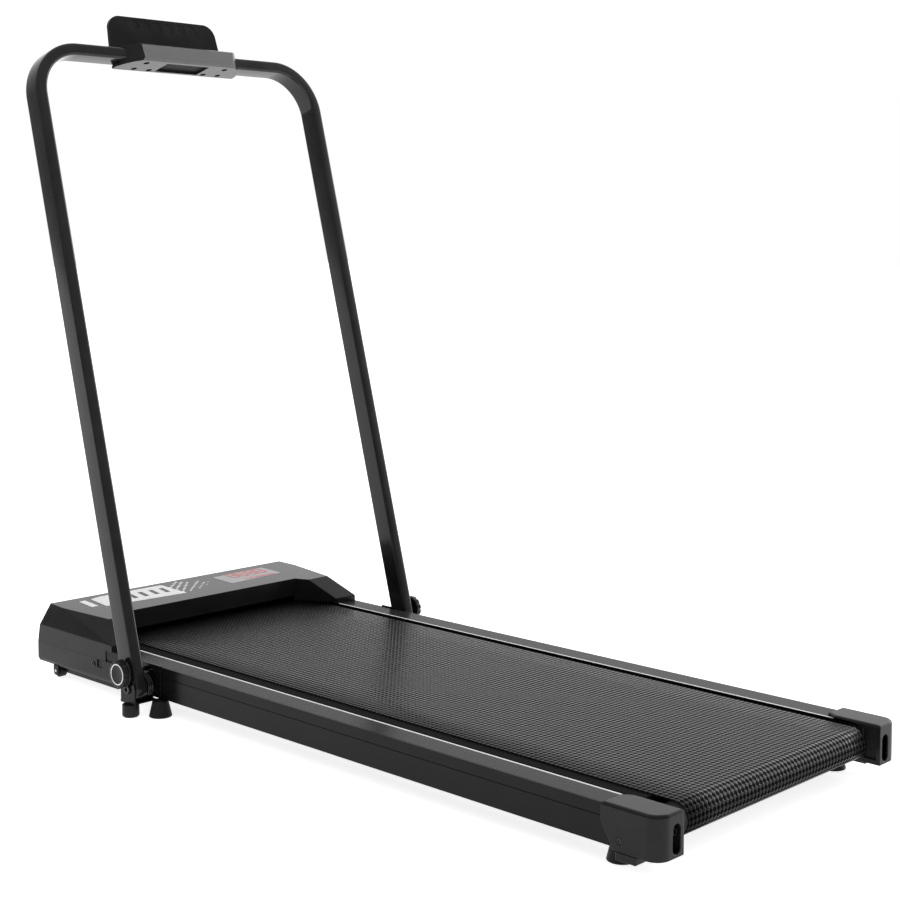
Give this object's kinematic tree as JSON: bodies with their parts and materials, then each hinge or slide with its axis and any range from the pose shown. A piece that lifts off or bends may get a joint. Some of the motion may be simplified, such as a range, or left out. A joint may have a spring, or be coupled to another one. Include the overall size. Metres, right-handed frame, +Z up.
{
  "type": "treadmill",
  "caption": "Folding walking treadmill with a flat running belt, low motor hood, and a lean-back handle frame with a small key console.",
  "frame": {"origin": "on the floor, under the middle of the overall length and width", "axes": "+Y toward the motor hood, +X to the right of a person walking toward the hood, +Z up"},
  "size_m": [0.633, 1.294, 1.1035],
  "materials": {
    "rail_metal": "semi-gloss black",
    "white_line": "matte white",
    "black_metal": "satin black powder coat",
    "deck_wood": "dark coated fibreboard",
    "rubber": "matte",
    "belt_rubber": "textured matte",
    "steel": "brushed",
    "dark_steel": "black zinc",
    "aluminium": "machined",
    "circuit": "solder mask",
    "shell_plastic": "satin black moulded",
    "trim_plastic": "fine texture",
    "window": "clear smoked gloss",
    "red_plastic": "gloss",
    "wheel_rubber": "matte"
  },
  "bodies": {
    "frame": {"side_rails": "rail_metal", "rail_stripes": "white_line", "crossmembers": "black_metal", "deck_board": "deck_wood", "deck_cushions": "rubber", "running_belt": "belt_rubber", "front_axle": "steel", "rear_axle": "steel", "motor_casing": "black_metal", "drive_belt": "rubber", "motor_bracket": "black_metal", "control_board": "circuit", "heatsink": "aluminium", "hood": "shell_plastic", "base_pan": "shell_plastic", "display_window": "window", "display_board": "circuit", "pan_screws": "dark_steel", "power_inlet": "trim_plastic", "end_caps": "shell_plastic", "end_cap_screws": "dark_steel", "tension_bolts": "dark_steel", "rear_feet": "rubber", "cone_feet": "rubber", "cylinder_feet": "rubber", "wheel_brackets": "black_metal", "wheel_axles": "steel", "hinge_brackets": "black_metal", "pivot_bolts": "dark_steel", "hinge_springs": "dark_steel"},
    "handle": {"handle_tube": "black_metal", "post_bushes": "aluminium", "console_housing": "shell_plastic", "console_base": "shell_plastic", "console_screws": "dark_steel", "key_panel": "trim_plastic", "key_board": "circuit"},
    "front_roller": {"front_roller": "steel", "front_bearings": "aluminium", "roller_pulley": "aluminium"},
    "rear_roller": {"rear_roller": "steel", "rear_bearings": "aluminium"},
    "motor_rotor": {"motor_rotor": "steel", "motor_pulley": "aluminium"},
    "left_wheel": {"left_wheel": "wheel_rubber"},
    "right_wheel": {"right_wheel": "wheel_rubber"},
    "power_rocker": {"power_rocker": "red_plastic"},
    "reset_button": {"reset_button": "red_plastic"},
    "left_lock": {"left_lock_screw": "dark_steel"},
    "right_lock": {"right_lock_screw": "dark_steel"},
    "left_knob": {"left_knob": "trim_plastic"},
    "right_knob": {"right_knob": "trim_plastic"},
    "key_1": {"key_1": "trim_plastic"},
    "key_2": {"key_2": "trim_plastic"},
    "key_3": {"key_3": "trim_plastic"},
    "key_4": {"key_4": "trim_plastic"},
    "key_5": {"key_5": "trim_plastic"},
    "key_6": {"key_6": "trim_plastic"}
  },
  "joints": [
    {"name": "handle_fold", "type": "hinge", "parent": "frame", "child": "handle", "pos_m": [0, 0.3332, 0.042], "axis": [1, 0, 0], "range_deg": [0, 100]},
    {"name": "front_roller_spin", "type": "hinge", "parent": "frame", "child": "front_roller", "pos_m": [0, 0.545, 0.0515], "axis": [1, 0, 0], "continuous": true},
    {"name": "rear_roller_spin", "type": "hinge", "parent": "frame", "child": "rear_roller", "pos_m": [0, -0.6133, 0.0515], "axis": [1, 0, 0], "continuous": true},
    {"name": "motor_spin", "type": "hinge", "parent": "frame", "child": "motor_rotor", "pos_m": [0, 0.608, 0.072], "axis": [1, 0, 0], "continuous": true},
    {"name": "left_wheel_spin", "type": "hinge", "parent": "frame", "child": "left_wheel", "pos_m": [-0.25, 0.5977, 0.013], "axis": [1, 0, 0], "continuous": true},
    {"name": "right_wheel_spin", "type": "hinge", "parent": "frame", "child": "right_wheel", "pos_m": [0.25, 0.5977, 0.013], "axis": [1, 0, 0], "continuous": true},
    {"name": "power_switch", "type": "hinge", "parent": "frame", "child": "power_rocker", "pos_m": [-0.112, 0.639, 0.0416], "axis": [0, 0, 1], "range_deg": [-16, 0]},
    {"name": "breaker_reset", "type": "slide", "parent": "frame", "child": "reset_button", "axis": [0, -1, 0], "range_m": [0, 0.0015], "stiffness_N_per_m": 400},
    {"name": "left_lock_draw", "type": "slide", "parent": "handle", "child": "left_lock", "axis": [-1, 0, 0], "range_m": [0, 0.003]},
    {"name": "left_knob_turn", "type": "hinge", "parent": "left_lock", "child": "left_knob", "pos_m": [-0.31, 0.33963, 0.066], "axis": [-1, 0, 0], "range_deg": [0, 720]},
    {"name": "right_lock_draw", "type": "slide", "parent": "handle", "child": "right_lock", "axis": [1, 0, 0], "range_m": [0, 0.003]},
    {"name": "right_knob_turn", "type": "hinge", "parent": "right_lock", "child": "right_knob", "pos_m": [0.31, 0.33963, 0.066], "axis": [1, 0, 0], "range_deg": [0, 720]},
    {"name": "key_1_press", "type": "slide", "parent": "handle", "child": "key_1", "axis": [0, 0.9659, -0.2588], "range_m": [0, 0.001], "stiffness_N_per_m": 600},
    {"name": "key_2_press", "type": "slide", "parent": "handle", "child": "key_2", "axis": [0, 0.9659, -0.2588], "range_m": [0, 0.001], "stiffness_N_per_m": 600},
    {"name": "key_3_press", "type": "slide", "parent": "handle", "child": "key_3", "axis": [0, 0.9659, -0.2588], "range_m": [0, 0.001], "stiffness_N_per_m": 600},
    {"name": "key_4_press", "type": "slide", "parent": "handle", "child": "key_4", "axis": [0, 0.9659, -0.2588], "range_m": [0, 0.001], "stiffness_N_per_m": 600},
    {"name": "key_5_press", "type": "slide", "parent": "handle", "child": "key_5", "axis": [0, 0.9659, -0.2588], "range_m": [0, 0.001], "stiffness_N_per_m": 600},
    {"name": "key_6_press", "type": "slide", "parent": "handle", "child": "key_6", "axis": [0, 0.9659, -0.2588], "range_m": [0, 0.001], "stiffness_N_per_m": 600}
  ],
  "couplings": [
    {"joint": "rear_roller_spin", "follows": "front_roller_spin", "ratio": 1},
    {"joint": "motor_spin", "follows": "front_roller_spin", "ratio": 2.8},
    {"joint": "left_knob_turn", "follows": "left_lock_draw", "rad_per_m": 4184.6},
    {"joint": "right_knob_turn", "follows": "right_lock_draw", "rad_per_m": 4184.6}
  ]
}
